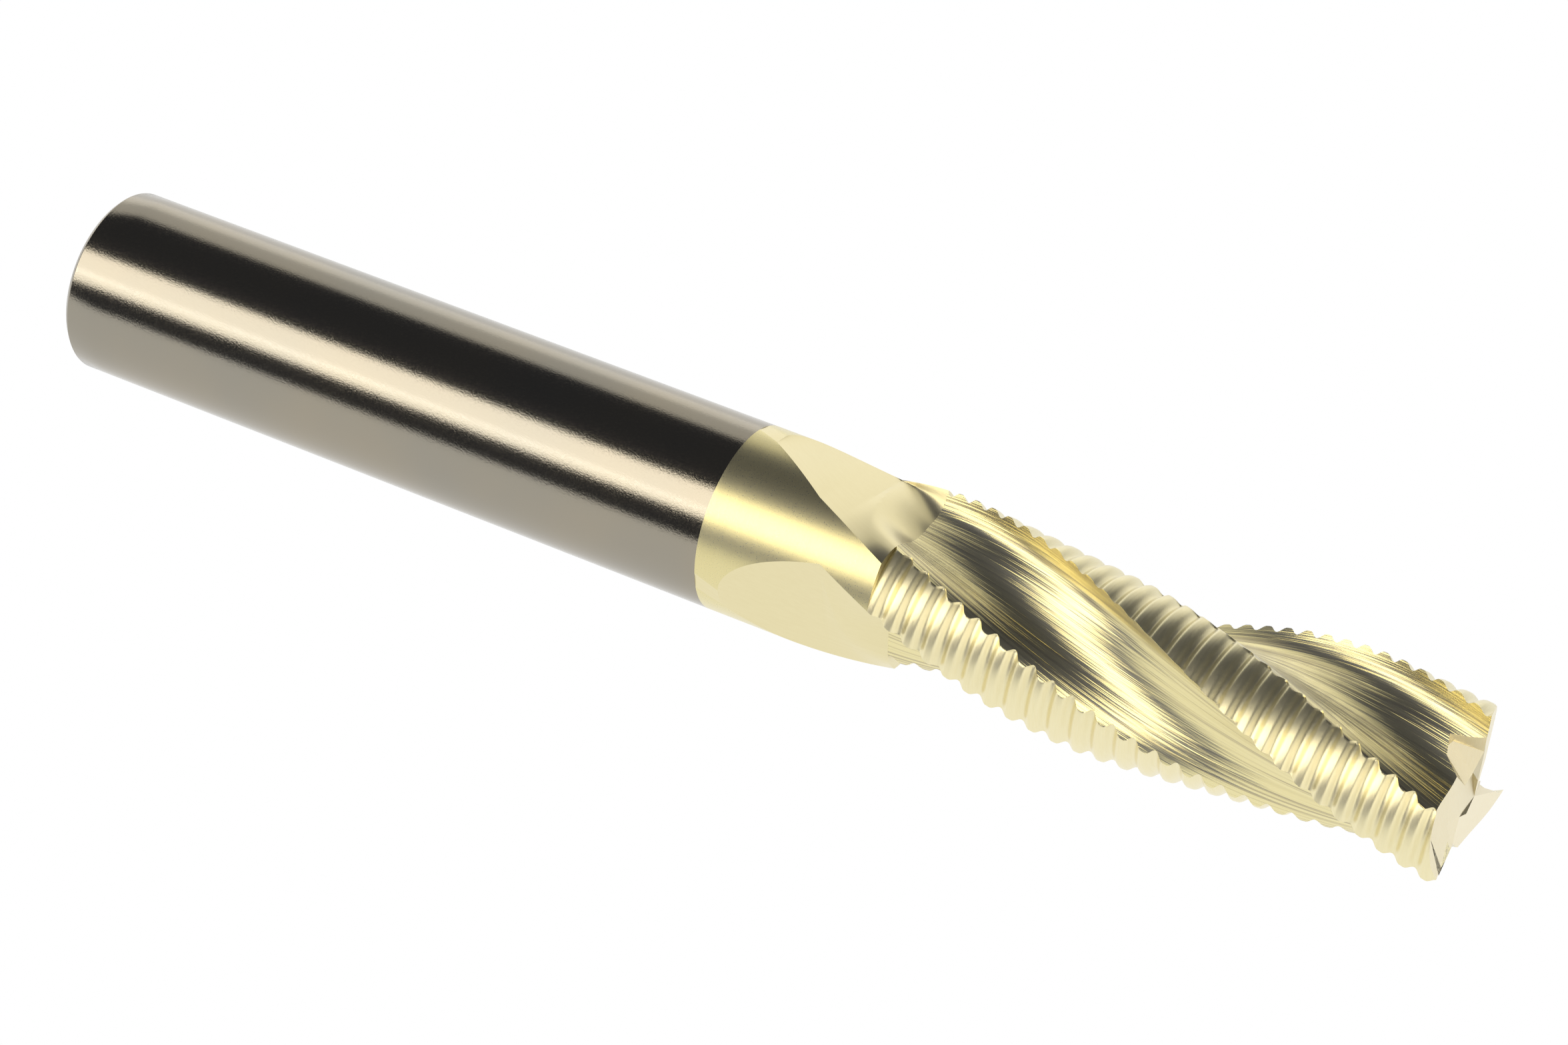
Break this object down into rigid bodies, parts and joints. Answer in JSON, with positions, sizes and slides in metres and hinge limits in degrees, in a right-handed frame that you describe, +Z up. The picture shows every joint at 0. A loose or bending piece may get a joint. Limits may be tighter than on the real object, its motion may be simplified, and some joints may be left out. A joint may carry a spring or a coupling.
{
  "type": "end mill",
  "caption": "Roughing end mill with a plain round shank, a coated neck and helical flutes whose ribbed teeth break the chip.",
  "frame": {"origin": "centre of the shank's back face, on the tool's axis", "axes": "+X along the tool's axis towards the cutting tip, +Z up with the tool lying on its side"},
  "size_m": [0.1016, 0.0126, 0.0126],
  "materials": {
    "ground_carbide": "ground and polished cemented carbide, uncoated",
    "gold_coating": "thin pale gold nitride coating on ground carbide"
  },
  "bodies": {
    "root": {"shank": "ground_carbide", "coated_neck": "gold_coating", "flute_core": "gold_coating", "tooth_1": "gold_coating", "tooth_2": "gold_coating", "tooth_3": "gold_coating"}
  },
  "joints": []
}
